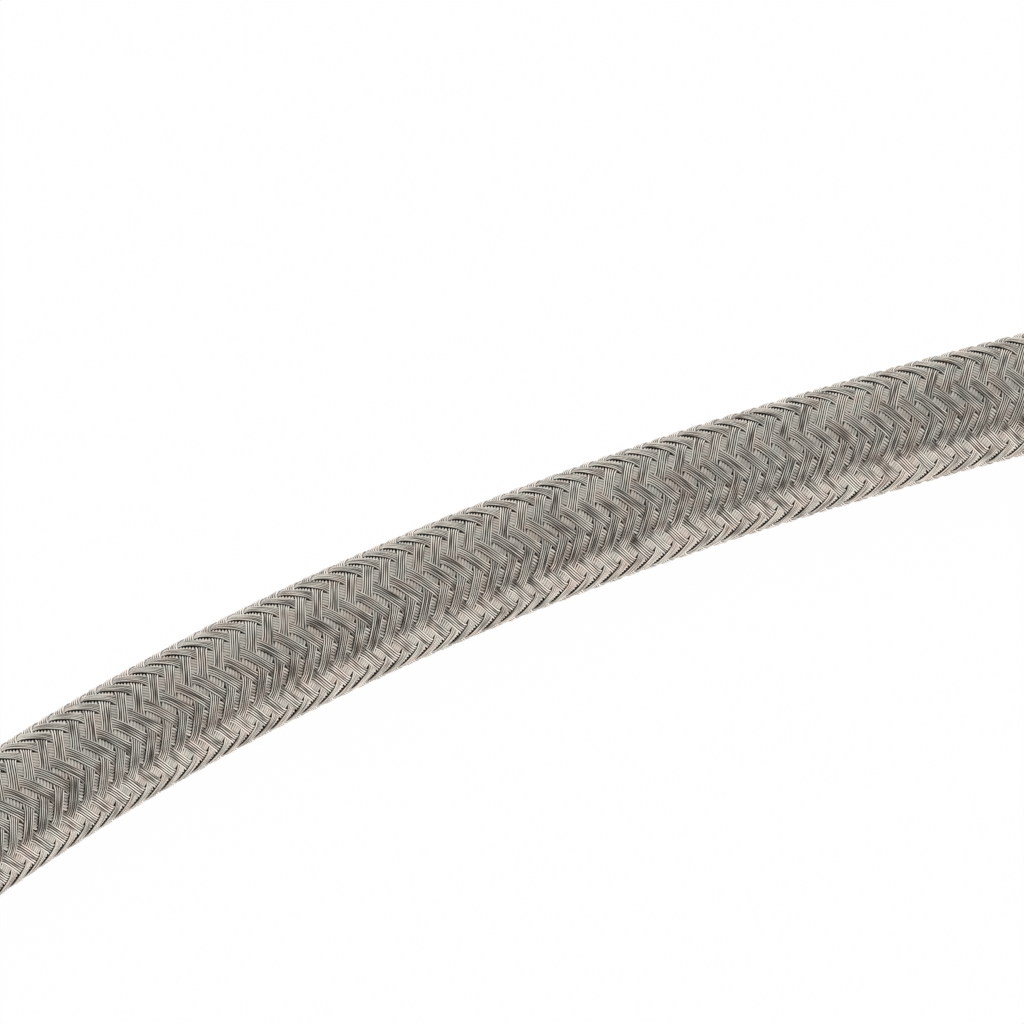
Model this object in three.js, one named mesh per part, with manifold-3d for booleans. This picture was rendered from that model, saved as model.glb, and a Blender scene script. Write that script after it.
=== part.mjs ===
// A braided brake hose: a plastic liner tube inside a sleeve of woven steel wire, with a crimped
// ferrule and a banjo fitting at each end. It lies on a flat surface in one gentle bend.
// Millimetres, +Z up. The origin is on the surface, midway between the two banjo fittings, and
// +X runs from the left fitting to the right one.

import * as THREE from 'three';
import { mergeVertices } from 'three/addons/utils/BufferGeometryUtils.js';
import Module from 'manifold-3d';

const wasm = await Module();
wasm.setup();

// Clearance
const seatGap = 0.3; // between pieces that touch on the real hose

// Liner and braid
const linerBore = 3.2;
const linerWall = 0.8;
const braidWall = 0.4;
const hoseSides = 12;
const stepsPerDiameter = 0.4; // one step every two and a half diameters

// Ferrule
const ferruleGrip = 17; // length of hose inside the ferrule
const ferruleWall = 1.1;
const lipThickness = 1.6;
const mouthChamfer = 0.5;
const crimpJaws = 8;
const crimpDepth = 0.35; // from the round outside to the middle of a crimped flat
const crimpLength = 12;
const crimpFromMouth = 2.5;

// Banjo fitting
const eyeDiameter = 18;
const eyeThickness = 9.5;
const boltHole = 10.2;
const boltHoleChamfer = 0.4;
const sealLandDiameter = 14.8; // the flat ring on each face that a washer seals on
const eyeRimHeight = 6.4;
const neckDiameter = 6.4;
const neckLength = 4.5;
const neckFlare = 0.9;
const shoulderDiameter = 8.4;
const shoulderThickness = 2;
const shoulderChamfer = 0.4;
const grooveDiameter = 4.8; // the ferrule's lip sits in this groove
const flangeRadialLap = 0.5; // how far the inner flange stands behind the lip
const flangeThickness = 0.8;
const nippleLength = 15;
const nippleTip = 1;
const barbCount = 4;
const barbDepth = 0.2;
const oilPassage = 1.4;

// Fineness of round surfaces
const roundSegments = 48;
const smallSegments = 32;
const rimSteps = 4;

// The hose's own round sizes, from the inside out
const linerBoreRadius = linerBore / 2;
const linerRadius = linerBoreRadius + linerWall;
const braidBoreRadius = linerRadius + seatGap;
const braidRadius = braidBoreRadius + braidWall;

// The hose lies on the surface, and its ends are lifted to the middle of the thicker fittings.
const restHeight = braidRadius;
const fittingHeight = eyeThickness / 2;

// The route of the hose's middle line, from its left cut end to its right one: x, y, and the lift
// from lying on the surface (0) to the height of the fittings (1).
const route = [
  [-140.45, 2.92, 1],
  [-129.51, 7.87, 1],
  [-118.58, 12.81, 1],
  [-107.65, 17.76, 0.9],
  [-96.71, 22.7, 0.65],
  [-85.78, 27.65, 0.35],
  [-74.84, 32.58, 0.1],
  [-63.85, 37.41, 0],
  [-52.74, 41.94, 0],
  [-41.43, 45.93, 0],
  [-29.87, 49.13, 0],
  [-18.07, 51.3, 0],
  [-6.12, 52.31, 0],
  [5.88, 52.12, 0],
  [17.8, 50.77, 0],
  [29.55, 48.38, 0],
  [41.1, 45.13, 0],
  [52.47, 41.27, 0],
  [63.68, 37.01, 0],
  [74.77, 32.43, 0.1],
  [85.77, 27.62, 0.35],
  [96.71, 22.7, 0.65],
  [107.65, 17.76, 0.9],
  [118.58, 12.81, 1],
  [129.51, 7.87, 1],
  [140.45, 2.92, 1],
];

const routePoints = route.map(
  ([x, y, lift]) => new THREE.Vector3(x, y, THREE.MathUtils.lerp(restHeight, fittingHeight, lift)),
);
const middleLine = new THREE.CatmullRomCurve3(routePoints, false, 'centripetal');
const hoseSteps = Math.round((middleLine.getLength() / (2 * braidRadius)) * stepsPerDiameter);

// Materials
const linerPlastic = new THREE.MeshStandardMaterial({ color: 0xf2f0ea, roughness: 0.4 });
const braidedSteel = new THREE.MeshStandardMaterial({ color: 0xa8a49d, roughness: 0.35, metalness: 1 });
const turnedSteel = new THREE.MeshStandardMaterial({ color: 0xb9b8b5, roughness: 0.28, metalness: 1 });

// A closed geometry as a solid that can be joined and cut
function toSolid(geometry) {
  const bare = geometry.clone();
  bare.deleteAttribute('normal');
  bare.deleteAttribute('uv');
  const merged = mergeVertices(bare, 1e-4);
  const triangles = [];
  for (let i = 0; i < merged.index.count; i += 3) {
    const [a, b, c] = merged.index.array.slice(i, i + 3);
    if (a !== b && b !== c && c !== a) triangles.push(a, b, c);
  }
  const vertProperties = new Float32Array(merged.attributes.position.array);
  const triVerts = new Uint32Array(triangles);
  return new wasm.Manifold(new wasm.Mesh({ numProp: 3, vertProperties, triVerts }));
}

function toGeometry(solid) {
  const mesh = solid.getMesh();
  const geometry = new THREE.BufferGeometry();
  geometry.setAttribute('position', new THREE.BufferAttribute(mesh.vertProperties, 3));
  geometry.setIndex(new THREE.BufferAttribute(mesh.triVerts, 1));
  geometry.computeVertexNormals();
  return geometry;
}

// A piece of an end fitting is turned about X, which points outwards along the hose. Its profile
// lists [x, radius] from the hose side outwards.
function turnedAboutX(profile, segments) {
  const points = profile.map(([x, radius]) => new THREE.Vector2(radius, x));
  return new THREE.LatheGeometry(points, segments).rotateZ(-Math.PI / 2);
}

function turnedAboutZ(profile, segments) {
  const points = profile.map(([radius, z]) => new THREE.Vector2(radius, z));
  return new THREE.LatheGeometry(points, segments).rotateX(Math.PI / 2);
}

// A plain tube along the hose's middle line
function hoseTube(innerRadius, outerRadius) {
  const section = new THREE.Shape().absarc(0, 0, outerRadius, 0, 2 * Math.PI);
  section.holes.push(new THREE.Path().absarc(0, 0, innerRadius, 0, 2 * Math.PI));
  return new THREE.ExtrudeGeometry(section, {
    steps: hoseSteps,
    curveSegments: hoseSides / 2,
    bevelEnabled: false,
    extrudePath: middleLine,
  });
}

// Places along X at an end of the hose, whose cut end is at 0
const flangeStart = seatGap;
const flangeEnd = flangeStart + flangeThickness;
const lipStart = flangeEnd + seatGap;
const lipEnd = lipStart + lipThickness;
const shoulderStart = lipEnd + seatGap;
const shoulderEnd = shoulderStart + shoulderThickness;
const neckEnd = shoulderEnd + neckLength;
const eyeCentre = neckEnd + eyeDiameter / 2;

const lipHoleRadius = grooveDiameter / 2 + seatGap;
const flangeRadius = lipHoleRadius + flangeRadialLap;
const ferruleBoreRadius = braidRadius + seatGap;
const ferruleRadius = ferruleBoreRadius + ferruleWall;

// The ferrule: a turned socket with a lip at its closed end, crimped to flats over the hose
function ferruleGeometry() {
  const mouth = -ferruleGrip;
  const socket = turnedAboutX(
    [
      [mouth, ferruleBoreRadius + mouthChamfer],
      [mouth, ferruleRadius - mouthChamfer],
      [mouth + mouthChamfer, ferruleRadius],
      [lipEnd - mouthChamfer, ferruleRadius],
      [lipEnd, ferruleRadius - mouthChamfer],
      [lipEnd, lipHoleRadius],
      [lipStart, lipHoleRadius],
      [lipStart, ferruleBoreRadius],
      [mouth + mouthChamfer, ferruleBoreRadius],
      [mouth, ferruleBoreRadius + mouthChamfer],
    ],
    roundSegments,
  );

  const flatDistance = ferruleRadius - crimpDepth;
  const jawCorner = flatDistance / Math.cos(Math.PI / crimpJaws);
  const jawSpace = new THREE.CylinderGeometry(jawCorner, jawCorner, 2 * crimpLength, crimpJaws);
  jawSpace.rotateY(Math.PI / crimpJaws);
  const sleeve = new THREE.CylinderGeometry(2 * jawCorner, 2 * jawCorner, crimpLength, smallSegments);
  const jaws = toSolid(sleeve)
    .subtract(toSolid(jawSpace))
    .rotate([0, 0, -90])
    .translate([mouth + crimpFromMouth + crimpLength / 2, 0, 0]);

  return toGeometry(toSolid(socket).subtract(jaws));
}

// The outline of the barbed nipple, from its tip to the flange
function nippleProfile() {
  const crest = linerBoreRadius - seatGap;
  const root = crest - barbDepth;
  const tip = flangeStart - nippleLength;
  const pitch = (nippleLength - nippleTip) / (barbCount + 1);
  const profile = [
    [tip, 0],
    [tip, root - barbDepth / 2],
  ];
  for (let i = 1; i <= barbCount; i += 1) {
    const x = tip + nippleTip + i * pitch;
    profile.push([x, crest], [x + barbDepth, root]);
  }
  profile.push([flangeStart, root]);
  return profile;
}

// The banjo's stem: nipple, flange, lip groove, shoulder and neck, up to inside the eye
function stemGeometry() {
  const neck = neckDiameter / 2;
  const shoulder = shoulderDiameter / 2;
  const insideEye = eyeCentre - (eyeDiameter + boltHole) / 4;
  return turnedAboutX(
    [
      ...nippleProfile(),
      [flangeStart, flangeRadius],
      [flangeEnd, flangeRadius],
      [flangeEnd, grooveDiameter / 2],
      [shoulderStart, grooveDiameter / 2],
      [shoulderStart, shoulder],
      [shoulderEnd - shoulderChamfer, shoulder],
      [shoulderEnd, shoulder - shoulderChamfer],
      [shoulderEnd, neck + shoulderChamfer],
      [shoulderEnd + shoulderChamfer, neck],
      [neckEnd - neckFlare, neck],
      [neckEnd, neck + neckFlare / 3],
      [neckEnd + neckFlare, neck + neckFlare],
      [insideEye, neck + neckFlare],
      [insideEye, 0],
    ],
    smallSegments,
  );
}

// The banjo's eye: a turned ring with a flat land on each face and a rounded rim between them
function eyeGeometry() {
  const face = eyeThickness / 2;
  const land = sealLandDiameter / 2;
  const hole = boltHole / 2;
  const rimRadius = eyeDiameter / 2;
  const rimFace = eyeRimHeight / 2;
  const upperHalf = [];
  for (let i = 0; i <= rimSteps; i += 1) {
    const turn = (i / rimSteps) * (Math.PI / 2);
    upperHalf.push([
      land + (rimRadius - land) * Math.cos(turn),
      rimFace + (face - rimFace) * Math.sin(turn),
    ]);
  }
  upperHalf.push([hole + boltHoleChamfer, face], [hole, face - boltHoleChamfer]);
  const lowerHalf = upperHalf.map(([radius, z]) => [radius, -z]).reverse();
  return turnedAboutZ([...lowerHalf, ...upperHalf, lowerHalf[0]], roundSegments);
}

function banjoGeometry() {
  const clearOfHole = boltHole / 4;
  const drillStart = flangeStart - nippleLength - clearOfHole;
  const drillLength = eyeCentre - drillStart;
  const drill = new THREE.CylinderGeometry(oilPassage / 2, oilPassage / 2, drillLength, smallSegments / 2);
  drill.rotateZ(-Math.PI / 2).translate(drillStart + drillLength / 2, 0, 0);
  const eye = toSolid(eyeGeometry()).translate([eyeCentre, 0, 0]);
  return toGeometry(toSolid(stemGeometry()).add(eye).subtract(toSolid(drill)));
}

// The two pieces on one end of the hose, in line with the end of its middle line
function endFitting(side, endPoint, nextPoint) {
  const fitting = new THREE.Group();
  fitting.position.copy(endPoint);
  fitting.rotation.z = Math.atan2(endPoint.y - nextPoint.y, endPoint.x - nextPoint.x);
  const ferrule = new THREE.Mesh(ferruleGeometry(), turnedSteel);
  ferrule.name = `ferrule_${side}`;
  const banjo = new THREE.Mesh(banjoGeometry(), turnedSteel);
  banjo.name = `banjo_${side}`;
  fitting.add(ferrule, banjo);
  return fitting;
}

const liner = new THREE.Mesh(hoseTube(linerBoreRadius, linerRadius), linerPlastic);
liner.name = 'liner';
const braid = new THREE.Mesh(hoseTube(braidBoreRadius, braidRadius), braidedSteel);
braid.name = 'braid';

const brakeHose = new THREE.Group();
brakeHose.add(
  liner,
  braid,
  endFitting('left', routePoints.at(0), routePoints.at(1)),
  endFitting('right', routePoints.at(-1), routePoints.at(-2)),
);

export default brakeHose;
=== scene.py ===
"""A braided brake hose on a white surface, seen close to.

The woven sleeve is made wire by wire where the photograph looks at it, and strand by strand
towards the ends. The end fittings are turned steel. The sizes, the profiles and the weave are in
millimetres, and all other lengths are in metres.
"""

import math

import bmesh
import bpy
import numpy as np
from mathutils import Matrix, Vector


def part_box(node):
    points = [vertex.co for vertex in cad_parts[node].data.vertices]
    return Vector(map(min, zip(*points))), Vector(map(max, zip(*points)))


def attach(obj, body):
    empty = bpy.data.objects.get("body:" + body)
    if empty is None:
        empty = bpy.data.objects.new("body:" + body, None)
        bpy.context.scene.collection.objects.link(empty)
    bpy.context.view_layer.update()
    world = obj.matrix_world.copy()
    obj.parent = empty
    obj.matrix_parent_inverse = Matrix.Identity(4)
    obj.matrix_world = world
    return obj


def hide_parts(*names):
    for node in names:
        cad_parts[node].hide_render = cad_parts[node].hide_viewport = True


bl_info = {
    "name": "Braided brake hose",
    "version": (1, 0, 0),
    "blender": (4, 5, 0),
    "location": "View3D > Sidebar > Brake hose",
    "description": "Builds a steel-braided brake hose with crimped banjo fittings on a white surface",
    "category": "Object",
}

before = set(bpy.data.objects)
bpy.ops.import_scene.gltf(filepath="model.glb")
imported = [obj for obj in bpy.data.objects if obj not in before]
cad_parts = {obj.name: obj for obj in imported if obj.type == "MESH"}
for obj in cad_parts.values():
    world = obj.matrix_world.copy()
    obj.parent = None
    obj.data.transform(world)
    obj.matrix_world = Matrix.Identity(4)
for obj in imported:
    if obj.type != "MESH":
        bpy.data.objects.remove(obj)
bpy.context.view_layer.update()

MM = 0.001
UP = np.array([0.0, 0.0, 1.0])

# The route of the hose's middle line in millimetres, from its left cut end to its right one: x, y,
# and the lift from lying on the surface (0) to the height of the fittings (1)
ROUTE = [
    (-140.45, 2.92, 1),
    (-129.51, 7.87, 1),
    (-118.58, 12.81, 1),
    (-107.65, 17.76, 0.9),
    (-96.71, 22.7, 0.65),
    (-85.78, 27.65, 0.35),
    (-74.84, 32.58, 0.1),
    (-63.85, 37.41, 0),
    (-52.74, 41.94, 0),
    (-41.43, 45.93, 0),
    (-29.87, 49.13, 0),
    (-18.07, 51.3, 0),
    (-6.12, 52.31, 0),
    (5.88, 52.12, 0),
    (17.8, 50.77, 0),
    (29.55, 48.38, 0),
    (41.1, 45.13, 0),
    (52.47, 41.27, 0),
    (63.68, 37.01, 0),
    (74.77, 32.43, 0.1),
    (85.77, 27.62, 0.35),
    (96.71, 22.7, 0.65),
    (107.65, 17.76, 0.9),
    (118.58, 12.81, 1),
    (129.51, 7.87, 1),
    (140.45, 2.92, 1),
]
STEPS_PER_SPAN = 48

BODY = "root"
HOSE_LENGTH = 300 * MM
FITTING_HEIGHT = (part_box("banjo_left")[0].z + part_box("banjo_left")[1].z) / 2


class HoseSizes(bpy.types.PropertyGroup):
    """The sizes of the liner and of the woven sleeve"""

    outer_diameter: bpy.props.FloatProperty(
        name="Outer diameter", description="Across the braid, in mm", default=6.2, min=1
    )
    liner_diameter: bpy.props.FloatProperty(
        name="Liner diameter", description="Outside of the liner, in mm", default=4.8, min=1
    )
    liner_bore: bpy.props.FloatProperty(
        name="Liner bore", description="Inside of the liner, in mm", default=3.2, min=0.5
    )
    carriers: bpy.props.IntProperty(
        name="Strands each way", description="Strands that wind one way round", default=14, min=4
    )
    wires: bpy.props.IntProperty(
        name="Wires in a strand", description="Wires side by side", default=5, min=2
    )
    wire_diameter: bpy.props.FloatProperty(
        name="Wire diameter", description="One braid wire, in mm", default=0.084, min=0.02
    )
    strand_pitch: bpy.props.FloatVectorProperty(
        name="Strand pitch",
        description="From one strand to the next along the hose, at the ends of the close view, in mm",
        default=(0.985, 1.017),
        size=2,
        min=0.2,
    )
    float_fill: bpy.props.FloatProperty(
        name="Fill of a float",
        description="Width of a strand on top, as a share of its pitch",
        default=0.66,
        subtype="FACTOR",
    )
    under_fill: bpy.props.FloatProperty(
        name="Fill underneath",
        description="Width of a strand underneath, as a share of its pitch",
        default=1.02,
        subtype="FACTOR",
    )
    weave_lift: bpy.props.FloatProperty(
        name="Weave lift", description="Rise and fall of a strand, in mm", default=0.046
    )
    sway: bpy.props.FloatProperty(
        name="Sway", description="How far a strand sways to each side at its crossings, in mm", default=0.03
    )
    float_crown: bpy.props.FloatProperty(
        name="Float crown", description="Fall of a float's edge wires, in mm", default=0.018
    )
    # Painted shade on the tops and sides of a strand's wires where it lies under the others
    under_shade: bpy.props.FloatVectorProperty(
        name="Hollow underneath",
        description="How dark the tops and the sides of the wires are where a strand lies underneath",
        default=(0.2, 0.36),
        size=2,
    )
    roll: bpy.props.FloatProperty(
        name="Roll", description="How far a strand rolls to each side, in degrees", default=9
    )
    under_lean: bpy.props.FloatProperty(
        name="Lean underneath",
        description="How round the wires look where a strand lies underneath",
        default=0.4,
        subtype="FACTOR",
    )
    row_angle: bpy.props.FloatProperty(
        name="Row angle", description="Turn of the rows round the hose, in degrees", default=-56.7
    )
    weave_start: bpy.props.FloatProperty(
        name="Weave start", description="Where a strand crosses the row angle, in mm", default=170.29
    )
    fine_from: bpy.props.FloatProperty(
        name="Fine from", description="Where single wires start along the hose, in mm", default=136
    )
    fine_to: bpy.props.FloatProperty(
        name="Fine to", description="Where single wires end along the hose, in mm", default=204
    )


class FittingSizes(bpy.types.PropertyGroup):
    """The sizes of the ferrules and the banjo fittings, outwards from the hose's cut end in mm"""

    ferrule_diameter: bpy.props.FloatProperty(
        name="Ferrule diameter", description="Across the ferrule, in mm", default=9.0, min=7
    )
    ferrule_grip: bpy.props.FloatProperty(
        name="Ferrule grip", description="How far the ferrule reaches over the braid, in mm", default=17.0
    )
    ferrule_lip: bpy.props.FloatVectorProperty(
        name="Ferrule lip", description="Where the ferrule's lip starts and ends", default=(1.4, 3.0), size=2
    )
    crimp: bpy.props.FloatVectorProperty(
        name="Crimp", description="Where the crimped flats start and end", default=(-14.5, -2.5), size=2
    )
    crimp_across: bpy.props.FloatProperty(
        name="Across the flats", description="Across two crimped flats, in mm", default=8.3
    )
    crimp_flats: bpy.props.IntProperty(
        name="Crimped flats", description="Flats round a ferrule", default=8, min=4
    )
    nipple_tip: bpy.props.FloatProperty(
        name="Nipple tip", description="Where the nipple inside the liner starts", default=-14.7
    )
    nipple_barbs: bpy.props.IntProperty(
        name="Barbs", description="Barbs round the nipple", default=4, min=1
    )
    flange: bpy.props.FloatVectorProperty(
        name="Flange",
        description="Where the flange behind the lip starts and ends",
        default=(0.3, 1.1),
        size=2,
    )
    shoulder: bpy.props.FloatVectorProperty(
        name="Shoulder", description="Where the shoulder starts and ends", default=(3.3, 5.3), size=2
    )
    neck_end: bpy.props.FloatProperty(
        name="Neck end", description="Where the neck runs into the eye", default=9.8
    )
    eye_centre: bpy.props.FloatProperty(
        name="Eye centre", description="Middle of the bolt hole", default=18.8
    )
    eye_diameter: bpy.props.FloatProperty(
        name="Eye diameter", description="Across the eye, in mm", default=18.0, min=12
    )
    eye_thickness: bpy.props.FloatProperty(
        name="Eye thickness", description="Between the two sealing faces, in mm", default=9.5
    )
    bolt_hole: bpy.props.FloatProperty(
        name="Bolt hole", description="Across the bolt hole, in mm", default=10.2
    )
    oil_passage: bpy.props.FloatProperty(
        name="Oil passage", description="Across the drilled passage, in mm", default=1.4
    )


class HoseColours(bpy.types.PropertyGroup):
    """The colours of the hose, as sRGB hex values"""

    wire: bpy.props.StringProperty(name="Wire", description="Bright drawn wire", default="#EAE5DC")
    wire_warm: bpy.props.StringProperty(
        name="Warm wire", description="Wire with a warm tint", default="#E5D9CF"
    )
    wire_cool: bpy.props.StringProperty(
        name="Cool wire", description="Wire with a green tint", default="#DEDDD4"
    )
    # Painted shade: the colour the steel turns to between the wires, under the other strands and at a
    # strand's sides, where shade falls
    painted_shade: bpy.props.StringProperty(
        name="Hollow", description="Steel in the hollows between wires", default="#453F38"
    )
    liner: bpy.props.StringProperty(name="Liner", description="Natural PTFE", default="#ECE9E1")
    fitting: bpy.props.StringProperty(
        name="Fitting", description="Turned stainless steel", default="#A5A29D"
    )
    surface: bpy.props.StringProperty(
        name="Surface", description="The white surface below", default="#F4F4F4"
    )


class ViewSettings(bpy.types.PropertyGroup):
    """The photograph's viewing angle"""

    aim: bpy.props.FloatVectorProperty(
        name="Aim", description="Point in the middle of the picture, in mm", default=(21.83, 52.84, 3.1)
    )
    heading: bpy.props.FloatProperty(
        name="Heading", description="Turn of the picture's right from +X, in degrees", default=-38.94
    )
    elevation: bpy.props.FloatProperty(
        name="Elevation", description="Above the horizon, in degrees", default=45
    )
    distance: bpy.props.FloatProperty(
        name="Distance", description="From the camera to the aim, in mm", default=408
    )
    focal_length: bpy.props.FloatProperty(
        name="Focal length", description="On a sensor 36 mm wide, in mm", default=281.25
    )


def linear(colour):
    """Turns an sRGB hex value into linear red, green, blue and alpha."""
    channels = [int(colour[i : i + 2], 16) / 255 for i in (1, 3, 5)]
    bright = [c / 12.92 if c <= 0.04045 else ((c + 0.055) / 1.055) ** 2.4 for c in channels]
    return (*bright, 1.0)


def add_node(tree, kind, options=None, sockets=None):
    """Adds a node, sets its options, and fills its sockets with values or links."""
    node = tree.nodes.new(kind)
    for name, value in (options or {}).items():
        setattr(node, name, value)
    for name, value in (sockets or {}).items():
        if isinstance(value, bpy.types.NodeSocket):
            tree.links.new(value, node.inputs[name])
        else:
            node.inputs[name].default_value = value
    return node


def new_material(name):
    """An empty node material and its tree."""
    material = bpy.data.materials.new(name)
    material.use_nodes = True
    material.node_tree.nodes.clear()
    return material, material.node_tree


def finish_material(tree, surface):
    add_node(tree, "ShaderNodeOutputMaterial", sockets={"Surface": surface})


def metres(tree):
    """The place on the object in metres, which patterns take their scale from."""
    return add_node(tree, "ShaderNodeTexCoord").outputs["Object"]


# The size of the steel's tint patches and where their noise turns from cool to warm, the amount of painted
# shade at which the steel is fully shaded, how much painted shade a ribbon's painted lines and its crests
# take, and the distances from the camera between which the painted shade between single wires fades into the
# painted shade of a strand's outline, with the roughness of each
PATCH_MM = 1.2
COOL_TO_WARM = (0.36, 0.64)
FULL_SHADE = 0.55
LINE_SHADE = (0.3, 0.12)
WIRES_FADE = (0.6, 1.6)
WIRE_ROUGHNESS = 0.17
STRAND_ROUGHNESS = 0.38


def steel_colour(tree, colours, painted_shade):
    """Steel grey that drifts between a warm and a cool tint in patches.

    It is mixed towards a painted shade colour in the hollows between the wires, under the other strands and
    at a strand's sides, where shade falls.
    """
    place = metres(tree)
    patches = add_node(
        tree,
        "ShaderNodeTexNoise",
        sockets={"Vector": place, "Scale": 1 / (PATCH_MM * MM), "Detail": 2.0},
    )
    tints = add_node(tree, "ShaderNodeValToRGB", sockets={"Fac": patches.outputs["Fac"]})
    cool, warm = tints.color_ramp.elements
    cool.position, warm.position = COOL_TO_WARM
    cool.color, warm.color = linear(colours.wire_cool), linear(colours.wire_warm)
    tints.color_ramp.elements.new(sum(COOL_TO_WARM) / 2).color = linear(colours.wire)
    depth = add_node(
        tree,
        "ShaderNodeMapRange",
        {"interpolation_type": "SMOOTHSTEP"},
        {"Value": painted_shade, "From Min": 0.0, "From Max": FULL_SHADE},
    )
    # Painted shade: the tint turns to the shade colour as the painted shade amount rises
    mixed = add_node(
        tree,
        "ShaderNodeMix",
        {"data_type": "RGBA"},
        {0: depth.outputs["Result"], 6: tints.outputs["Color"], 7: linear(colours.painted_shade)},
    )
    return mixed.outputs[2]


def drawn_stainless_wire(colours):
    """Stainless wire, cold drawn and unpolished: bright lines of light along each wire.

    From afar a pixel holds several wires, so there the painted shade of the strand's outline takes over from
    the painted shade between the wires.
    """
    material, tree = new_material("drawn_stainless_wire")
    near, far = WIRES_FADE
    distance = add_node(tree, "ShaderNodeCameraData").outputs["View Distance"]
    fade = add_node(
        tree, "ShaderNodeMapRange", sockets={"Value": distance, "From Min": near, "From Max": far}
    ).outputs["Result"]
    # Two painted shade amounts: between the wires, seen close to, and at the strand's outline, seen from
    # afar
    wires = add_node(tree, "ShaderNodeAttribute", {"attribute_name": "painted_shade"}).outputs["Fac"]
    strand = add_node(tree, "ShaderNodeAttribute", {"attribute_name": "outline_shade"}).outputs["Fac"]
    painted_shade = add_node(
        tree, "ShaderNodeMapRange", sockets={"Value": fade, "To Min": wires, "To Max": strand}
    ).outputs["Result"]
    gloss = add_node(
        tree,
        "ShaderNodeMapRange",
        sockets={"Value": fade, "To Min": WIRE_ROUGHNESS, "To Max": STRAND_ROUGHNESS},
    ).outputs["Result"]
    colour = steel_colour(tree, colours, painted_shade)
    steel = add_node(
        tree,
        "ShaderNodeBsdfPrincipled",
        sockets={"Base Color": colour, "Metallic": 1.0, "Roughness": gloss},
    )
    finish_material(tree, steel.outputs["BSDF"])
    return material


def woven_stainless_strand(colours, wires):
    """The same wire away from the close view, where a strand is one ribbon.

    Its wires are too fine to show from there, so faint lines of painted shade and a duller gloss stand for
    them.
    """
    material, tree = new_material("woven_stainless_strand")
    across = add_node(tree, "ShaderNodeUVMap", {"uv_map": "wires"})
    parts = add_node(tree, "ShaderNodeSeparateXYZ", sockets={0: across.outputs["UV"]})
    # Painted shade lines: darker between each two wires, lighter on their crests
    wave = add_node(
        tree, "ShaderNodeMath", {"operation": "MULTIPLY"}, {0: parts.outputs["X"], 1: wires * math.pi}
    )
    crest = add_node(tree, "ShaderNodeMath", {"operation": "SINE"}, {0: wave.outputs[0]})
    height = add_node(tree, "ShaderNodeMath", {"operation": "ABSOLUTE"}, {0: crest.outputs[0]})
    shade_lines = add_node(
        tree,
        "ShaderNodeMapRange",
        sockets={"Value": height.outputs[0], "To Min": LINE_SHADE[0], "To Max": LINE_SHADE[1]},
    )
    painted_shade = add_node(tree, "ShaderNodeAttribute", {"attribute_name": "painted_shade"})
    # The ribbon's own painted shade added to its painted shade lines
    total = add_node(
        tree,
        "ShaderNodeMath",
        {"operation": "ADD"},
        {0: painted_shade.outputs["Fac"], 1: shade_lines.outputs["Result"]},
    )
    colour = steel_colour(tree, colours, total.outputs[0])
    steel = add_node(
        tree,
        "ShaderNodeBsdfPrincipled",
        sockets={"Base Color": colour, "Metallic": 1.0, "Roughness": STRAND_ROUGHNESS},
    )
    finish_material(tree, steel.outputs["BSDF"])
    return material


def extruded_ptfe(colours):
    """Natural PTFE, paste extruded: waxy white that lets a little light in."""
    material, tree = new_material("extruded_ptfe")
    skin = add_node(
        tree,
        "ShaderNodeBsdfPrincipled",
        sockets={
            "Base Color": linear(colours.liner),
            "Roughness": 0.42,
            "Subsurface Weight": 0.1,
            "Subsurface Scale": 0.5 * MM,
        },
    )
    finish_material(tree, skin.outputs["BSDF"])
    return material


def turned_stainless(colours):
    """Stainless steel off the lathe: satin, with a fine grain and gloss that varies from handling."""
    material, tree = new_material("turned_stainless")
    grain_mm, grain_depth_mm, handling_mm = 0.25, 0.02, 3
    place = metres(tree)
    grain = add_node(
        tree,
        "ShaderNodeTexNoise",
        sockets={"Vector": place, "Scale": 1 / (grain_mm * MM), "Detail": 3.0},
    )
    bump = add_node(
        tree,
        "ShaderNodeBump",
        sockets={"Height": grain.outputs["Fac"], "Strength": 0.1, "Distance": grain_depth_mm * MM},
    )
    handling = add_node(
        tree,
        "ShaderNodeTexNoise",
        sockets={"Vector": place, "Scale": 1 / (handling_mm * MM), "Detail": 4.0, "Roughness": 0.6},
    )
    gloss = add_node(
        tree,
        "ShaderNodeMapRange",
        sockets={
            "Value": handling.outputs["Fac"],
            "From Min": 0.35,
            "From Max": 0.65,
            "To Min": 0.16,
            "To Max": 0.3,
        },
    )
    steel = add_node(
        tree,
        "ShaderNodeBsdfPrincipled",
        sockets={
            "Base Color": linear(colours.fitting),
            "Metallic": 1.0,
            "Roughness": gloss.outputs["Result"],
            "Normal": bump.outputs["Normal"],
        },
    )
    finish_material(tree, steel.outputs["BSDF"])
    return material


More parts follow.
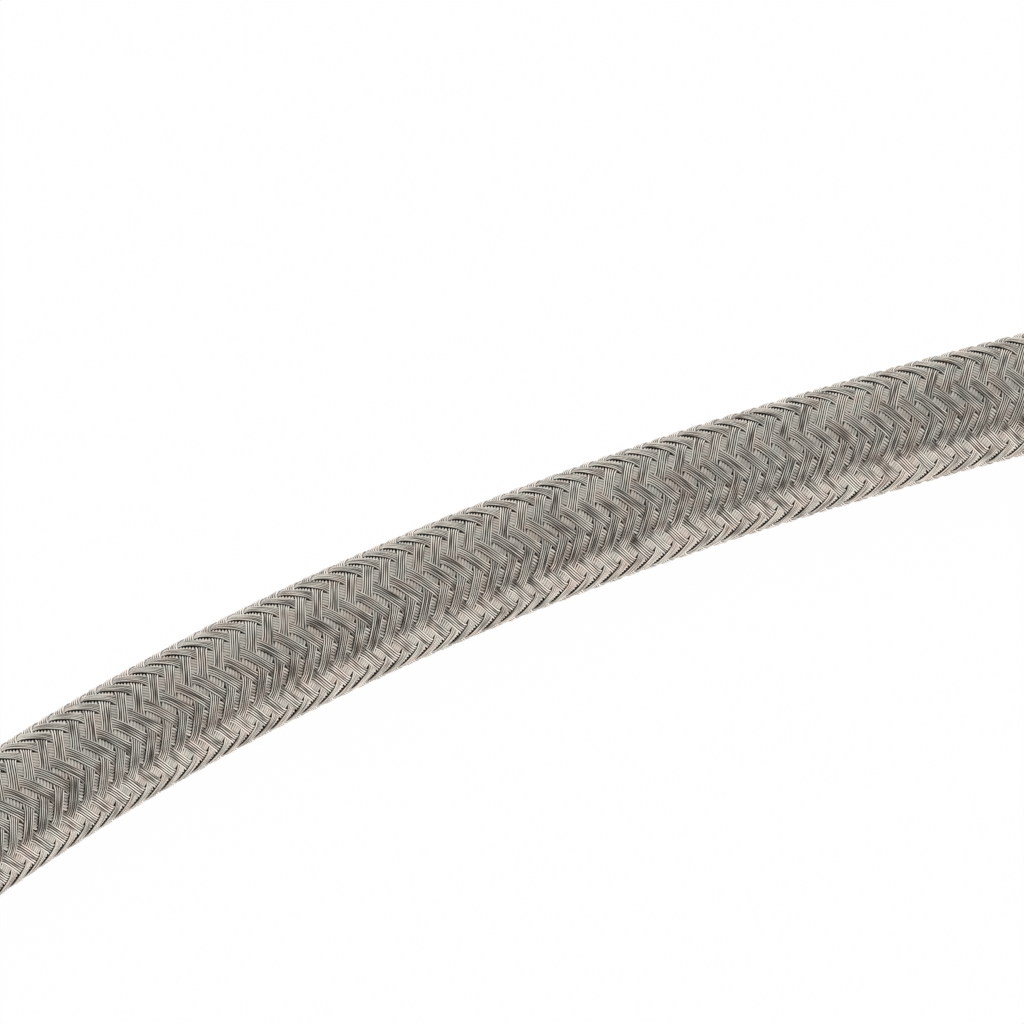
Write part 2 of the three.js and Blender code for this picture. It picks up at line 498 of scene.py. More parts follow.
class MiddleLine:
    """The hose's middle line by distance along it, with the directions sideways and up."""

    def __init__(self, points):
        line = self.smooth(np.array(points))
        steps = np.linalg.norm(np.diff(line, axis=0), axis=1)
        self.along = np.concatenate([[0], np.cumsum(steps)])
        self.line = line
        self.length = self.along[-1]
        ahead = np.gradient(line, self.along, axis=0)
        ahead /= np.linalg.norm(ahead, axis=1)[:, None]
        side = np.cross(UP, ahead)
        self.ahead = ahead
        self.side = side / np.linalg.norm(side, axis=1)[:, None]
        self.up = np.cross(ahead, self.side)

    @staticmethod
    def smooth(points):
        """A centripetal curve through the points."""
        points = np.vstack([2 * points[0] - points[1], points, 2 * points[-1] - points[-2]])
        share = np.linspace(0, 1, STEPS_PER_SPAN, endpoint=False)[:, None]
        spans = []
        for before, start, end, after in zip(points, points[1:], points[2:], points[3:]):
            pairs = ((before, start), (start, end), (end, after))
            knots = np.cumsum([0] + [math.sqrt(np.linalg.norm(b - a)) for a, b in pairs])
            t = knots[1] + share * (knots[2] - knots[1])

            def mix(a, b, i, j, t=t, knots=knots):
                return (a * (knots[j] - t) + b * (t - knots[i])) / (knots[j] - knots[i])

            first = mix(before, start, 0, 1)
            second = mix(start, end, 1, 2)
            third = mix(end, after, 2, 3)
            spans.append(mix(mix(first, second, 0, 2), mix(second, third, 1, 3), 1, 2))
        return np.vstack([*spans, points[-2:-1]])

    def at(self, along, values):
        return np.stack([np.interp(along, self.along, values[:, i]) for i in range(3)], axis=-1)

    def place(self, along, turn, radius):
        """Points at a distance along the hose, a turn from straight up and a radius."""
        outwards = (
            np.cos(turn)[..., None] * self.at(along, self.up)
            + np.sin(turn)[..., None] * self.at(along, self.side)
        )
        return self.at(along, self.line) + radius[..., None] * outwards


def hose_line(sizes):
    rest = sizes.outer_diameter / 2 * MM
    return MiddleLine([(x * MM, y * MM, rest + lift * (FITTING_HEIGHT - rest)) for x, y, lift in ROUTE])


def new_piece(name, points, faces, materials):
    """A mesh piece from its points and its faces, parented to the root body."""
    mesh = bpy.data.meshes.new(name)
    mesh.vertices.add(len(points))
    mesh.vertices.foreach_set("co", np.asarray(points, np.float32).ravel())
    faces = np.asarray(faces, np.int32)
    mesh.loops.add(faces.size)
    mesh.loops.foreach_set("vertex_index", faces.ravel())
    mesh.polygons.add(len(faces))
    mesh.polygons.foreach_set("loop_start", np.arange(len(faces), dtype=np.int32) * faces.shape[1])
    mesh.polygons.foreach_set("use_smooth", np.full(len(faces), True))
    mesh.update(calc_edges=True)
    for material in materials:
        mesh.materials.append(material)
    piece = bpy.data.objects.new(name, mesh)
    bpy.context.scene.collection.objects.link(piece)
    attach(piece, BODY)
    return piece


def ring_faces(rings, columns, pairs):
    """Faces between rings of points, for each pair of neighbouring columns."""
    starts = np.arange(rings - 1)[:, None] * columns
    left, right = np.array(pairs).T
    corners = [starts + left, starts + columns + left, starts + columns + right, starts + right]
    return np.stack(corners, axis=-1).reshape(-1, 4)


def closed_pairs(columns):
    return [(i, (i + 1) % columns) for i in range(columns)]


# The step in mm between the marks that the strands' winding is worked out at, which run a little
# past both ends, and how softly a strand rises and falls: at 0 it would jump between its levels
MARK_STEP = 0.5
LIFT_SOFTNESS = 0.3


class Weave:
    """How the strands of the sleeve wind, cross and dip, all in mm and radians."""

    def __init__(self, sizes):
        self.sizes = sizes
        self.step = 2 * math.pi / sizes.carriers
        self.row_turn = math.radians(sizes.row_angle) - self.step / 4
        self.top = sizes.outer_diameter / 2 - sizes.wire_diameter / 2
        self.middle = self.top - sizes.weave_lift
        self.mean_pitch = sum(sizes.strand_pitch) / 2
        self.slant = math.atan(self.step / self.mean_pitch * self.middle)
        self.pitch = self.step * self.middle * math.cos(self.slant)
        self.marks = np.arange(-1, HOSE_LENGTH / MM + 2, MARK_STEP)
        pitch = np.interp(self.marks, (sizes.fine_from, sizes.fine_to), sizes.strand_pitch)
        steps = MARK_STEP / 2 / pitch[1:] + MARK_STEP / 2 / pitch[:-1]
        passed = np.concatenate([[0], np.cumsum(steps)])
        self.wound = self.step * (passed - np.interp(sizes.weave_start, self.marks, passed))

    def winding(self, along):
        """How far a strand has wound round the hose at a place along it."""
        return np.interp(along, self.marks, self.wound)

    def phase(self, way, number, along, turn):
        """Where points of a strand are in its over and under, in radians."""
        crossing = number + (turn - self.row_turn + way * self.winding(along)) / self.step
        return math.pi / 2 * (crossing + 0.5)

    def lift(self, way, number, along, turn):
        """From 1 on top to -1 underneath, for a strand of one way at its points."""
        wave = way * np.sin(self.phase(way, number, along, turn))
        return wave * math.sqrt(1 + LIFT_SOFTNESS**2) / np.sqrt(wave**2 + LIFT_SOFTNESS**2)

    def strand(self, way, number, along):
        """The turn of a strand's middle at places along the hose."""
        return self.row_turn + way * self.winding(along) + number * self.step


# Seeded wobbles: what each adds to the seed, its wavelengths along the hose in mm, and its size. The
# drift, the stray and the rise are in mm, and the others are shares
STRAND_DRIFT = (0, (9, 23, 41), 0.03)
STRAND_WIDTH = (7, (3.1, 7.7), 0.05)
STRAND_ROLL = (11, (2.7, 6.1), 1)
WIRE_STRAY = (0, (2.3, 5.1, 11), 0.008)
WIRE_RISE = (3, (1.7, 4.3, 9), 0.006)
WIRE_DULLNESS = (5, (0.9, 2.9, 13), 0.33)


def seed_of(way, number, wire=-1):
    """The seed of a strand, or of one of its wires."""
    return 1000 * (wire + 1) + 100 * number + way + 1


def wander(along, seed, wobble):
    """A smooth seeded wobble along the hose."""
    offset, wavelengths, size = wobble
    draw = np.random.default_rng(seed + offset)
    total = np.zeros_like(along)
    for wavelength in wavelengths:
        total += np.sin(2 * math.pi * (along / wavelength + draw.random()))
    return size * total / len(wavelengths)


# The heights, from -1 underneath to 1 on top, between which a strand gathers
GATHERING = (-0.9, 0.4)


def smooth_step(share):
    """Eases a share from 0 to 1."""
    share = np.clip(share, 0, 1)
    return share * share * (3 - 2 * share)


def strand_course(weave, way, number, along):
    """The middle of a strand with its sway and seeded drift, and how wide the strand lies there.

    A strand stays gathered on top and spreads out where it has dipped below the others.
    """
    sizes = weave.sizes
    seed = seed_of(way, number)
    middle = along + wander(along, seed, STRAND_DRIFT)
    turn = weave.strand(way, number, middle)
    phase = weave.phase(way, number, middle, turn)
    spread_below, gathered_above = GATHERING
    gathered = smooth_step((way * np.sin(phase) - spread_below) / (gathered_above - spread_below))
    fill = sizes.under_fill + (sizes.float_fill - sizes.under_fill) * gathered
    fill = fill * (1 + wander(along, seed, STRAND_WIDTH))
    sway = -way * sizes.sway * np.cos(phase)
    return middle, turn, sway, weave.pitch * fill


# A wire's section, as four columns along it: their angle from its top, the lean of the light on them, which
# drawing flats make smaller, and how much painted shade each one takes, full at its sides where it meets its
# neighbours
WIRE_ARCH = np.radians([-90, -15, 15, 90])
WIRE_LEAN = np.radians([-60, -9, 9, 60])
WIRE_SHADE = np.array([1.0, 0.0, 0.0, 1.0])

# A ribbon's section, as six columns along it: their place across it in half widths and in height in wire
# radii, the lean of the light on them, and the share of its width that its painted shade lines go by
RIBBON_ACROSS = np.array([-1, -0.5, 0.5, 1, 0.9, -0.9])
RIBBON_HEIGHT = np.array([0, 1, 1, 0, -1, -1])
RIBBON_LEAN = np.radians([-60, -12, 12, 60, 180, 180])
RIBBON_LINES = np.array([0, 0.25, 0.75, 1, 1, 0])

# How much painted shade a strand takes, from 0 to 1: the tops of its wires, the open sides of its outer
# wires, its back, a ribbon's sides, what a dip under the other strands adds to a ribbon, and a strand's top
# seen from afar
WIRE_TOP = 0.1
OPEN_SIDE = 0.65
STRAND_BACK = 0.3
RIBBON_SIDE = 0.36
RIBBON_UNDER = 0.12
STRAND_TOP = 0.145

# How much of the slack between its wires a strand's arches fill, its back's width as a share of
# its own, and the rings along a strand for each over and under
SLACK_FILL = 0.85
BACK_WIDTH = 0.9
WIRE_RINGS = 14
RIBBON_RINGS = 6


def fine_strand(weave, way, number, along):
    """One strand wire by wire: arches side by side over a flat back, so that a ring is closed."""
    sizes = weave.sizes
    middle, turn, sway, width = strand_course(weave, way, number, along)
    wire_radius = sizes.wire_diameter / 2
    gauge = width / sizes.wires
    spread = wire_radius + SLACK_FILL * np.maximum(gauge / 2 - wire_radius, 0)
    across, height, angle, shade_and_dullness = [], [], [], []
    for wire in range(sizes.wires):
        offset = (wire - (sizes.wires - 1) / 2) * gauge
        seed = seed_of(way, number, wire)
        stray = wander(along, seed, WIRE_STRAY)
        rise = wander(along, seed, WIRE_RISE)
        across.append((offset + stray)[:, None] + spread[:, None] * np.sin(WIRE_ARCH))
        height.append(rise[:, None] + wire_radius * np.cos(WIRE_ARCH))
        angle.append(WIRE_LEAN)
        # The tops of the wires are darkened a little, at random along each wire, and their sides take full
        # painted shade
        dull = WIRE_TOP + wander(along, seed, WIRE_DULLNESS)
        shade_and_dullness.append(np.maximum(WIRE_SHADE, dull[:, None]))
    # Painted shade on the open sides of the outer wires, which outlines the strand
    shade_and_dullness[0][:, 0] = shade_and_dullness[-1][:, -1] = OPEN_SIDE
    half = width / 2
    across.append(np.stack([half, -half], axis=1) * BACK_WIDTH)
    height.append(np.full((len(along), 2), -wire_radius))
    angle.append(np.full(2, math.pi))
    across, height = np.hstack(across), np.hstack(height)
    place, turns, radius = laid_strand(weave, way, number, middle, turn, sway, across, height, half)
    # The painted shade of every column, with the strand's back
    depth = np.hstack([*shade_and_dullness, np.full((len(along), 2), STRAND_BACK)])
    on_top = (weave.lift(way, number, place, turns) + 1) / 2
    under_top, under_side = sizes.under_shade
    # Painted shade where the strand is on top, and the under-strand painted shade where it lies under the
    # others
    painted_shade = depth * on_top + (under_top + (under_side - under_top) * depth) * (1 - on_top)
    lean = np.concatenate(angle) * (1 - (1 - sizes.under_lean) * (1 - on_top))
    roll = math.radians(sizes.roll) * wander(along, seed_of(way, number), STRAND_ROLL)
    side = np.clip(2 * np.abs(across) / half[:, None] - 1, 0, 1)
    # Painted shade of the strand's outline for the far view: darker at its sides and where it lies under the
    # others
    outline_shade = STRAND_TOP + RIBBON_SIDE * side + RIBBON_UNDER * (1 - on_top)
    return place, turns, radius, lean + roll[:, None], painted_shade, outline_shade


def coarse_strand(weave, way, number, along):
    """One strand as a ribbon with a rounded top and a flat back."""
    sizes = weave.sizes
    middle, turn, sway, width = strand_course(weave, way, number, along)
    half = width / 2
    across = half[:, None] * RIBBON_ACROSS
    height = np.broadcast_to(RIBBON_HEIGHT * sizes.wire_diameter / 2, across.shape)
    place, turns, radius = laid_strand(weave, way, number, middle, turn, sway, across, height, half)
    lean = np.broadcast_to(RIBBON_LEAN, place.shape)
    on_top = (weave.lift(way, number, place, turns) + 1) / 2
    # Painted shade at a ribbon's sides and back, and more where it lies under the others
    sides = np.array([RIBBON_SIDE, 0, 0, RIBBON_SIDE, STRAND_BACK, STRAND_BACK])
    painted_shade = sides + RIBBON_UNDER * (1 - on_top)
    return place, turns, radius, lean, painted_shade, painted_shade


def laid_strand(weave, way, number, along, turn, sway, across, height, half):
    """Lays a strand's section, given across and up, round the hose."""
    sizes = weave.sizes
    offset = across + sway[:, None]
    place = along[:, None] - way * math.sin(weave.slant) * offset
    turns = turn[:, None] + math.cos(weave.slant) * offset / weave.middle
    lift = weave.lift(way, number, place, turns)
    crown = sizes.float_crown * (lift + 1) / 2 * (across / half[:, None]) ** 2
    radius = weave.middle + sizes.weave_lift * lift - crown + height
    return place, turns, radius


def pinched(values):
    """The rings with an extra one at each end drawn together to a point, which closes the ends."""
    first = np.full((1, values.shape[1]), values[0].mean())
    last = np.full((1, values.shape[1]), values[-1].mean())
    return np.vstack([first, values, last])


def ring_normals(line, weave, way, ring, place, turn, lean):
    """Normals of a round wire at each point: they lean from outwards, and are square to it."""
    ahead = line.at(place * MM, line.ahead)
    up, side = line.at(place * MM, line.up), line.at(place * MM, line.side)
    outwards = np.cos(turn)[..., None] * up + np.sin(turn)[..., None] * side
    round_hose = np.cos(turn)[..., None] * side - np.sin(turn)[..., None] * up
    across = math.cos(weave.slant) * round_hose - way * math.sin(weave.slant) * ahead
    normals = np.cos(lean)[..., None] * outwards + np.sin(lean)[..., None] * across
    run = np.gradient(ring, axis=0)
    never_zero = 1e-12
    run /= np.linalg.norm(run, axis=-1, keepdims=True) + never_zero
    normals -= (normals * run).sum(-1, keepdims=True) * run
    return normals / (np.linalg.norm(normals, axis=-1, keepdims=True) + never_zero)


def strand_piece(name, line, weave, strands, wire_material, strand_material):
    """Several strands, each from end to end of the hose: ribbon, single wires, ribbon."""
    sizes = weave.sizes
    period = 2 * weave.mean_pitch
    stretches = [
        (0, sizes.fine_from, RIBBON_RINGS, coarse_strand),
        (sizes.fine_from, sizes.fine_to, WIRE_RINGS, fine_strand),
        (sizes.fine_to, line.length / MM, RIBBON_RINGS, coarse_strand),
    ]
    points, normals, faces, finish, widths, painted_shades, outline_shades = [], [], [], [], [], [], []
    count = 0
    for way, number in strands:
        for start, end, steps, make in stretches:
            along = np.linspace(start, end, int((end - start) / period * steps))
            section = make(weave, way, number, along)
            place, turn, radius, lean, painted_shade, outline_shade = map(pinched, section)
            place = np.clip(place, 0, line.length / MM)
            rings, columns = place.shape
            ring = line.place(place * MM, turn, radius * MM)
            grid = ring_faces(rings, columns, closed_pairs(columns))
            points.append(ring.reshape(-1, 3))
            normals.append(ring_normals(line, weave, way, ring, place, turn, lean).reshape(-1, 3))
            faces.append(grid + count)
            finish.append(np.full(len(grid), 0 if make is fine_strand else 1))
            share = np.zeros(columns) if make is fine_strand else RIBBON_LINES
            widths.append(np.tile(share, rings))
            painted_shades.append(painted_shade.ravel())
            outline_shades.append(outline_shade.ravel())
            count += rings * columns
    points, faces = np.vstack(points), np.vstack(faces)
    piece = new_piece(name, points, faces, [wire_material, strand_material])
    mesh = piece.data
    mesh.polygons.foreach_set("material_index", np.concatenate(finish).astype(np.int32))
    layer = mesh.uv_layers.new(name="wires")
    shares = np.concatenate(widths)[faces.ravel()]
    layer.data.foreach_set("uv", np.stack([shares, shares * 0], axis=1).astype(np.float32).ravel())
    # The painted shade amounts go onto the mesh as point attributes
    for attribute, values in (("painted_shade", painted_shades), ("outline_shade", outline_shades)):
        layer = mesh.attributes.new(attribute, "FLOAT", "POINT")
        layer.data.foreach_set("value", np.concatenate(values).astype(np.float32))
    mesh.normals_split_custom_set_from_vertices(np.vstack(normals).astype(np.float32))
    return piece


# Faces round a turned piece, points along a long curve and a small fillet of its outline, and the
# sharpest bend that still shades as one smooth face
LATHE_STEPS = 96
CURVE_POINTS = 9
FILLET_POINTS = 6
SMOOTH_BEND = math.radians(28)


def turned_solid(name, profile, origin, axis, across, limit=None):
    """A solid spun about an axis from a closed profile of (along, radius) points in mm.

    A limit says how far out the steel may reach at a place along the axis and a turn about it.
    """
    turn = np.linspace(0, 2 * math.pi, LATHE_STEPS, endpoint=False)[:, None]
    along, radius = np.array(profile).T
    along, radius = np.broadcast_to(along, (LATHE_STEPS, len(profile))), radius + 0 * turn
    if limit:
        radius = np.minimum(radius, limit(along, turn))
    outwards = np.cos(turn)[..., None] * across + np.sin(turn)[..., None] * np.cross(axis, across)
    points = origin + MM * (along[..., None] * axis + radius[..., None] * outwards)
    faces = ring_faces(LATHE_STEPS + 1, len(profile), closed_pairs(len(profile))) % along.size
    solid = bmesh.new()
    corners = [solid.verts.new(point) for point in points.reshape(-1, 3)]
    for face in faces:
        solid.faces.new([corners[i] for i in face])
    bmesh.ops.recalc_face_normals(solid, faces=solid.faces)
    mesh = bpy.data.meshes.new(name)
    solid.to_mesh(mesh)
    solid.free()
    piece = bpy.data.objects.new(name, mesh)
    bpy.context.scene.collection.objects.link(piece)
    return piece


def combine(target, operation, tool):
    """Joins the tool to the target, or cuts the target with it."""
    modifier = target.modifiers.new("combine", "BOOLEAN")
    modifier.operation = operation
    modifier.object = tool
    modifier.solver = "EXACT"
    whole = target.evaluated_get(bpy.context.evaluated_depsgraph_get())
    mesh = bpy.data.meshes.new_from_object(whole)
    target.modifiers.clear()
    target.data = mesh
    bpy.data.objects.remove(tool)


def fitting_frame(line, end):
    """The middle of the hose's cut end, and the direction outwards from it."""
    if end == "left":
        origin, outwards = line.line[0], -line.ahead[0]
    else:
        origin, outwards = line.line[-1], line.ahead[-1]
    outwards = outwards * (1 - UP)
    return origin, outwards / np.linalg.norm(outwards)


def ferrule_piece(sizes, braid_radius, line, end):
    """A socket turned from bar, whose middle is pressed into flats round the braid."""
    outside = sizes.ferrule_diameter / 2
    mouth, (lip_start, lip_end) = -sizes.ferrule_grip, sizes.ferrule_lip
    crimp_start, crimp_end = sizes.crimp
    # How far the rounded edges, their middle points, the crimp's ramps and the mouth's flare run
    edge, soft, ramp, flare = 0.5, 0.075, 1.1, 0.3
    clearance, lip_depth = 0.03, 0.4
    bore, lip_hole = braid_radius + clearance, braid_radius - lip_depth
    flat_turn = 2 * math.pi / sizes.crimp_flats

    def jaws(along, turn):
        from_flat = (turn + flat_turn / 2) % flat_turn - flat_turn / 2
        pressed = sizes.crimp_across / 2 / np.cos(from_flat)
        closed = smooth_step(np.minimum(along - crimp_start, crimp_end - along) / ramp)
        return outside + closed * (np.minimum(pressed, outside) - outside)

    ramps = ramp * np.linspace(0, 1, CURVE_POINTS)
    profile = [
        (mouth, bore + flare),
        (mouth, outside - edge),
        (mouth + soft, outside - edge / 2),
        (mouth + edge / 2, outside - soft),
        (mouth + edge, outside),
        *((crimp_start + run, outside) for run in ramps),
        *((crimp_end - run, outside) for run in reversed(ramps)),
        (lip_end - edge, outside),
        (lip_end - soft, outside - 2 * soft),
        (lip_end, outside - edge),
        (lip_end, lip_hole),
        (lip_start, lip_hole),
        (lip_start, bore),
        (mouth + flare, bore),
    ]
    origin, outwards = fitting_frame(line, end)
    return turned_solid(f"crimped_ferrule_{end}", profile, origin, outwards, UP, jaws)


def stem_profile(sizes, end_along):
    """Half the section of a fitting's stem, from the nipple's tip into the eye."""
    passage = sizes.oil_passage / 2
    # The stem's radii, and then its rounded edges, the nipple's barbs and the flare into the eye
    crest, root, groove, flange, shoulder, neck = 1.3, 1.1, 2.4, 3.2, 4.2, 3.2
    edge, fillet = 0.4, 0.5
    barb, barb_step, tip_taper = 2.4, 0.2, 0.1
    flare, flare_run, flare_power = 0.9, 1.8, 1.7
    flange_start, flange_end = sizes.flange
    shoulder_start, shoulder_end = sizes.shoulder
    profile = [(sizes.nipple_tip, passage)]
    for i in range(sizes.nipple_barbs):
        start = sizes.nipple_tip + i * barb
        base = root if i else root - tip_taper
        profile += [(start, base), (start + barb - barb_step, crest)]
    profile += [(start + barb, root), (flange_start, root)]
    profile += [(flange_start, flange), (flange_end, flange), (flange_end, groove)]
    profile += [(shoulder_start, groove), (shoulder_start, shoulder - edge)]
    profile += [(shoulder_start + edge, shoulder), (shoulder_end - edge, shoulder)]
    profile += [(shoulder_end, shoulder - edge)]
    for turn in np.linspace(0, math.pi / 2, FILLET_POINTS):
        outwards, upwards = 1 - math.cos(turn), 1 - math.sin(turn)
        profile.append((shoulder_end + fillet * outwards, neck + fillet * upwards))
    flare_start = sizes.neck_end - flare_run / 2
    for share in np.linspace(0, 1, CURVE_POINTS):
        profile.append((flare_start + share * flare_run, neck + flare * share**flare_power))
    return [*profile, (end_along, neck + flare), (end_along, passage)]


def eye_profile(sizes):
    """Half the section of the eye, round its bolt hole: flat sealing faces and a rounded rim."""
    hole, outside, half = sizes.bolt_hole / 2, sizes.eye_diameter / 2, sizes.eye_thickness / 2
    chamfer, land, rim = 0.4, 7.4, 3.2
    inside = [(-half, hole + chamfer), (chamfer - half, hole)]
    inside += [(half - chamfer, hole), (half, hole + chamfer)]
    bend = [
        (rim + (half - rim) * math.cos(turn), land + (outside - land) * math.sin(turn))
        for turn in np.linspace(0, math.pi / 2, CURVE_POINTS)
    ]
    return [*inside, *bend, *((-height, radius) for height, radius in reversed(bend))]


# The drill keeps a hair-thin core, because a spun outline can't lie on its axis
DRILL_CORE = 0.01


def banjo_piece(sizes, line, end):
    """A stem and an eye in one, with the oil passage drilled into the bolt hole."""
    origin, outwards = fitting_frame(line, end)
    sideways = np.cross(UP, outwards)
    inside_eye = sizes.eye_centre - (sizes.eye_diameter + sizes.bolt_hole) / 4
    half_section = stem_profile(sizes, inside_eye)
    stem = turned_solid(f"banjo_fitting_{end}", half_section, origin, outwards, sideways)
    eye_place = origin + sizes.eye_centre * MM * outwards
    eye = turned_solid("eye", eye_profile(sizes), eye_place, UP, outwards)
    combine(stem, "UNION", eye)
    drill_start, drill_radius = sizes.shoulder[1], sizes.oil_passage / 2
    drilled = [(drill_start, DRILL_CORE), (drill_start, drill_radius)]
    drilled += [(sizes.eye_centre, drill_radius), (sizes.eye_centre, DRILL_CORE)]
    drill = turned_solid("drill", drilled, origin, outwards, sideways)
    combine(stem, "DIFFERENCE", drill)
    return stem


class HOSE_OT_liner(bpy.types.Operator):
    """Makes the smooth plastic tube that holds the fluid"""

    bl_idname = "brake_hose.liner"
    bl_label = "Liner"

    def execute(self, context):
        sizes = context.scene.hose_sizes
        line = hose_line(sizes)
        rings, sides = 161, 32
        along = np.linspace(0, line.length, rings)
        turn = np.linspace(0, 2 * math.pi, sides, endpoint=False)
        place, turns = np.meshgrid(along, turn, indexing="ij")
        bore, wall = sizes.liner_bore / 2 * MM, sizes.liner_diameter / 2 * MM
        outside = line.place(place, turns, np.full_like(place, wall)).reshape(-1, 3)
        inside = line.place(place, turns, np.full_like(place, bore)).reshape(-1, 3)
        pairs = closed_pairs(sides)
        skin = ring_faces(rings, sides, pairs)
        lining = skin[:, ::-1] + len(outside)
        last = (rings - 1) * sides
        near = [(b, b + len(outside), a + len(outside), a) for a, b in pairs]
        far = [(a + last, a + last + len(outside), b + last + len(outside), b + last) for a, b in pairs]
        points, faces = np.vstack([outside, inside]), np.vstack([skin, lining, near, far])
        ptfe = extruded_ptfe(context.scene.hose_colours)
        piece = new_piece("liner_tube", points, faces, [ptfe])
        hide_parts("liner")
        return {"FINISHED"}


class HOSE_OT_braid(bpy.types.Operator):
    """Weaves the sleeve of stainless wire"""

    bl_idname = "brake_hose.braid"
    bl_label = "Braid"

    def execute(self, context):
        sizes = context.scene.hose_sizes
        colours = context.scene.hose_colours
        line = hose_line(sizes)
        weave = Weave(sizes)
        wire = drawn_stainless_wire(colours)
        strand = woven_stainless_strand(colours, sizes.wires)
        strands = [(way, number) for number in range(sizes.carriers) for way in (1, -1)]
        groups, route_points = 7, 301
        pieces = [
            strand_piece(f"braid_strands_{i + 1}", line, weave, strands[i::groups], wire, strand)
            for i in range(groups)
        ]
        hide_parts("braid")
        route = line.at(np.linspace(0, line.length, route_points), line.line)
        return {"FINISHED"}


class HOSE_OT_fittings(bpy.types.Operator):
    """Finishes the ferrules and the banjo fittings"""

    bl_idname = "brake_hose.fittings"
    bl_label = "End fittings"

    def execute(self, context):
        steel = turned_stainless(context.scene.hose_colours)
        hose, sizes = context.scene.hose_sizes, context.scene.fitting_sizes
        line = hose_line(hose)
        for end in ("left", "right"):
            made = {
                f"ferrule_{end}": ferrule_piece(sizes, hose.outer_diameter / 2, line, end),
                f"banjo_{end}": banjo_piece(sizes, line, end),
            }
            for node, piece in made.items():
                piece.data.materials.append(steel)
                piece.data.shade_smooth()
                piece.data.set_sharp_from_angle(angle=SMOOTH_BEND)
                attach(piece, BODY)
                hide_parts(node)
        return {"FINISHED"}


# How the camera sees the surface, as a share of white, and how the steel mirrors it
WHITE = "#FFFFFF"
SEEN_WHITE = 0.985
MIRRORED_SURFACE = "#FFFBF9"
MIRRORED_STRENGTH = 1.45

# The room: bright walls, and how much brighter they are as the steel mirrors them
ROOM_WALL = "#FFFFFD"
ROOM_DIM = "#3F352E"
ROOM_GLOSS = 1.27

# Where the room is dim: a dark band low down on the camera's side, a duller ceiling, and a darker
# patch of it on that side. Each is a depth and masks, by a direction's height, how near it points
# to the camera's side, or how far sideways
DIM_PARTS = (
    (1.0, (("height", 0.0, 0.06), ("height", 0.38, 0.28), ("near", 0.0, 0.2), ("sideways", 1.0, 0.9))),
    (0.26, (("height", 0.4, 0.9),)),
    (0.3, (("height", 0.62, 0.8), ("near", 0.05, 0.2))),
)


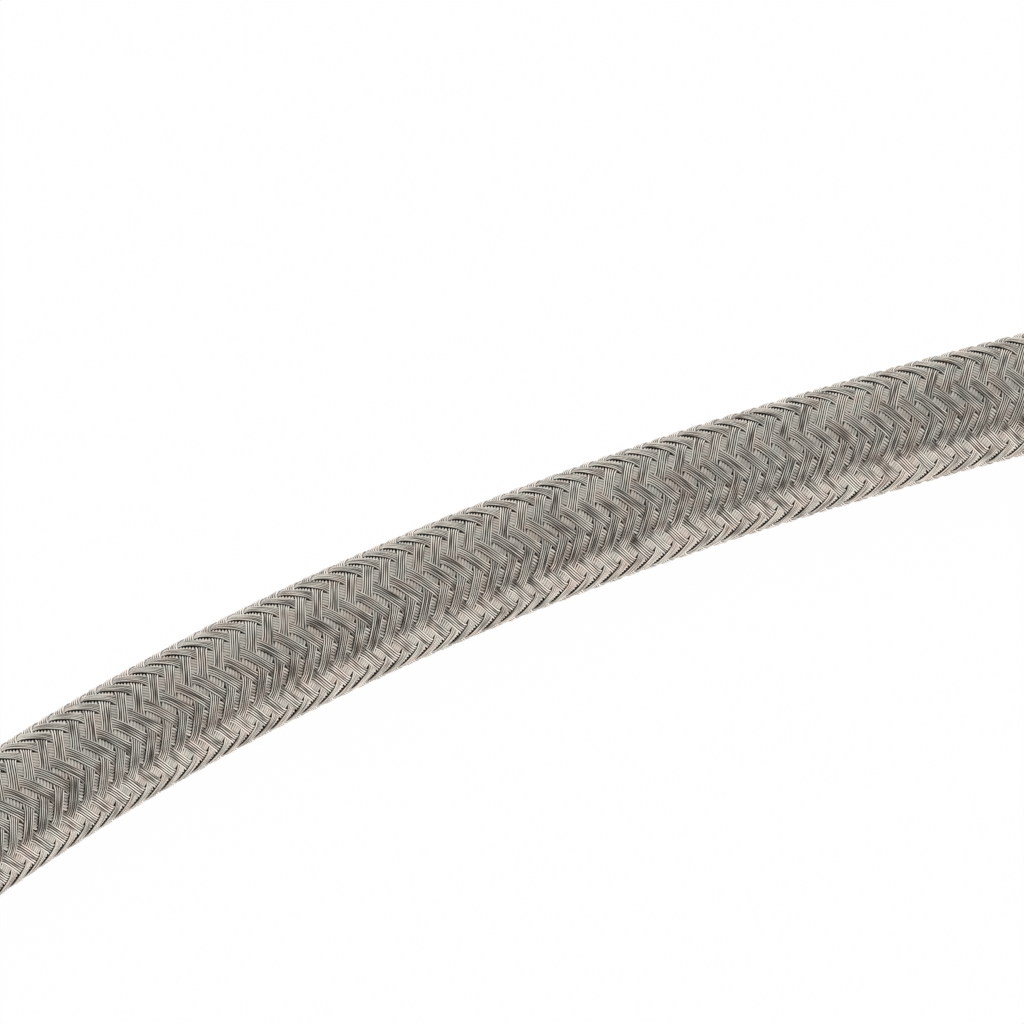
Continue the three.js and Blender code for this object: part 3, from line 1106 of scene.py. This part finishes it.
class HOSE_OT_stage(bpy.types.Operator):
    """Sets up the white surface, the camera and the white room"""

    bl_idname = "brake_hose.stage"
    bl_label = "Stage"

    def execute(self, context):
        scene = context.scene
        scene.view_settings.view_transform = "Standard"
        self.surface(scene.hose_colours)
        self.camera(scene)
        self.room(scene)
        return {"FINISHED"}

    def surface(self, colours):
        half = 3
        mesh = bpy.data.meshes.new("surface")
        corners = [(-half, -half, 0), (half, -half, 0), (half, half, 0), (-half, half, 0)]
        mesh.from_pydata(corners, [], [(0, 1, 2, 3)])
        floor = bpy.data.objects.new("surface", mesh)
        bpy.context.scene.collection.objects.link(floor)
        material, tree = new_material("matt_white_surface")
        lit = add_node(tree, "ShaderNodeBsdfDiffuse", sockets={"Color": linear(colours.surface)})
        white = add_node(tree, "ShaderNodeEmission", sockets={"Color": linear(WHITE), "Strength": 1.0})
        mirrored = add_node(
            tree,
            "ShaderNodeEmission",
            sockets={"Color": linear(MIRRORED_SURFACE), "Strength": MIRRORED_STRENGTH},
        )
        ray = add_node(tree, "ShaderNodeLightPath")
        seen = add_node(
            tree,
            "ShaderNodeMath",
            {"operation": "MULTIPLY"},
            {0: ray.outputs["Is Camera Ray"], 1: SEEN_WHITE},
        )
        direct = add_node(
            tree,
            "ShaderNodeMixShader",
            sockets={0: seen.outputs[0], 1: lit.outputs[0], 2: white.outputs[0]},
        )
        both = add_node(
            tree,
            "ShaderNodeMixShader",
            sockets={0: ray.outputs["Is Glossy Ray"], 1: direct.outputs[0], 2: mirrored.outputs[0]},
        )
        finish_material(tree, both.outputs[0])
        mesh.materials.append(material)

    def camera(self, scene):
        view = scene.hose_view
        heading = math.radians(view.heading)
        elevation = math.radians(view.elevation)
        away = Vector((-math.sin(heading), math.cos(heading), 0))
        look = away * math.cos(elevation) - Vector((0, 0, math.sin(elevation)))
        data = bpy.data.cameras.new("close_view")
        data.sensor_width = 36
        data.lens = view.focal_length
        data.clip_start = 0.01
        data.clip_end = 20
        camera = bpy.data.objects.new("close_view", data)
        camera.location = (Vector(view.aim) - look * view.distance) * MM
        camera.rotation_mode = "QUATERNION"
        camera.rotation_quaternion = look.to_track_quat("-Z", "Y")
        scene.collection.objects.link(camera)
        scene.camera = camera

    def room(self, scene):
        """A white room that is dim in parts, as the steel reflects it."""
        heading = math.radians(scene.hose_view.heading)
        world = bpy.data.worlds.new("white_room")
        scene.world = world
        world.use_nodes = True
        tree = world.node_tree
        tree.nodes.clear()
        ray = add_node(tree, "ShaderNodeTexCoord").outputs["Generated"]
        parts = add_node(tree, "ShaderNodeSeparateXYZ", sockets={0: ray})
        nearer = (math.sin(heading), -math.cos(heading), 0)
        rightwards = (math.cos(heading), math.sin(heading), 0)
        near, right = (
            add_node(tree, "ShaderNodeVectorMath", {"operation": "DOT_PRODUCT"}, {0: ray, 1: direction})
            for direction in (nearer, rightwards)
        )
        sideways = add_node(
            tree, "ShaderNodeMath", {"operation": "ABSOLUTE"}, {0: right.outputs["Value"]}
        )
        sources = {
            "height": parts.outputs["Z"],
            "near": near.outputs["Value"],
            "sideways": sideways.outputs[0],
        }
        dim = 0
        for depth, masks in DIM_PARTS:
            for source, start, end in masks:
                mask = add_node(
                    tree,
                    "ShaderNodeMapRange",
                    {"interpolation_type": "SMOOTHSTEP"},
                    {"Value": sources[source], "From Min": start, "From Max": end},
                ).outputs["Result"]
                depth = add_node(
                    tree, "ShaderNodeMath", {"operation": "MULTIPLY"}, {0: depth, 1: mask}
                ).outputs[0]
            dim = add_node(tree, "ShaderNodeMath", {"operation": "ADD"}, {0: dim, 1: depth}).outputs[0]
        shade = add_node(
            tree,
            "ShaderNodeMix",
            {"data_type": "RGBA"},
            {0: dim, 6: linear(ROOM_WALL), 7: linear(ROOM_DIM)},
        )
        path = add_node(tree, "ShaderNodeLightPath")
        strength = add_node(
            tree,
            "ShaderNodeMapRange",
            sockets={"Value": path.outputs["Is Glossy Ray"], "To Min": 1.0, "To Max": ROOM_GLOSS},
        )
        room = add_node(
            tree,
            "ShaderNodeBackground",
            sockets={"Color": shade.outputs[2], "Strength": strength.outputs["Result"]},
        )
        white = add_node(tree, "ShaderNodeBackground", sockets={"Color": linear(WHITE), "Strength": 1.0})
        both = add_node(
            tree,
            "ShaderNodeMixShader",
            sockets={0: path.outputs["Is Camera Ray"], 1: room.outputs[0], 2: white.outputs[0]},
        )
        add_node(tree, "ShaderNodeOutputWorld", sockets={"Surface": both.outputs[0]})


class HOSE_PT_panel(bpy.types.Panel):
    """Lists what the add-on makes, with its sizes and colours"""

    bl_idname = "HOSE_PT_panel"
    bl_label = "Brake hose"
    bl_space_type = "VIEW_3D"
    bl_region_type = "UI"
    bl_category = "Brake hose"

    def draw(self, context):
        for group_name in GROUPS:
            group = getattr(context.scene, group_name)
            box = self.layout.box()
            for name in group.__annotations__:
                box.prop(group, name)
        for operator in OPERATORS:
            self.layout.operator(operator.bl_idname)


OPERATORS = (HOSE_OT_stage, HOSE_OT_liner, HOSE_OT_fittings, HOSE_OT_braid)
GROUPS = {
    "hose_sizes": HoseSizes,
    "fitting_sizes": FittingSizes,
    "hose_colours": HoseColours,
    "hose_view": ViewSettings,
}


def register():
    for group in GROUPS.values():
        bpy.utils.register_class(group)
    for name, group in GROUPS.items():
        setattr(bpy.types.Scene, name, bpy.props.PointerProperty(type=group))
    for operator in OPERATORS:
        bpy.utils.register_class(operator)
    bpy.utils.register_class(HOSE_PT_panel)


def unregister():
    bpy.utils.unregister_class(HOSE_PT_panel)
    for operator in reversed(OPERATORS):
        bpy.utils.unregister_class(operator)
    for name, group in GROUPS.items():
        delattr(bpy.types.Scene, name)
        bpy.utils.unregister_class(group)


def main():
    register()
    bpy.ops.brake_hose.stage()
    bpy.ops.brake_hose.liner()
    bpy.ops.brake_hose.fittings()
    bpy.ops.brake_hose.braid()


if __name__ == "__main__":
    main()
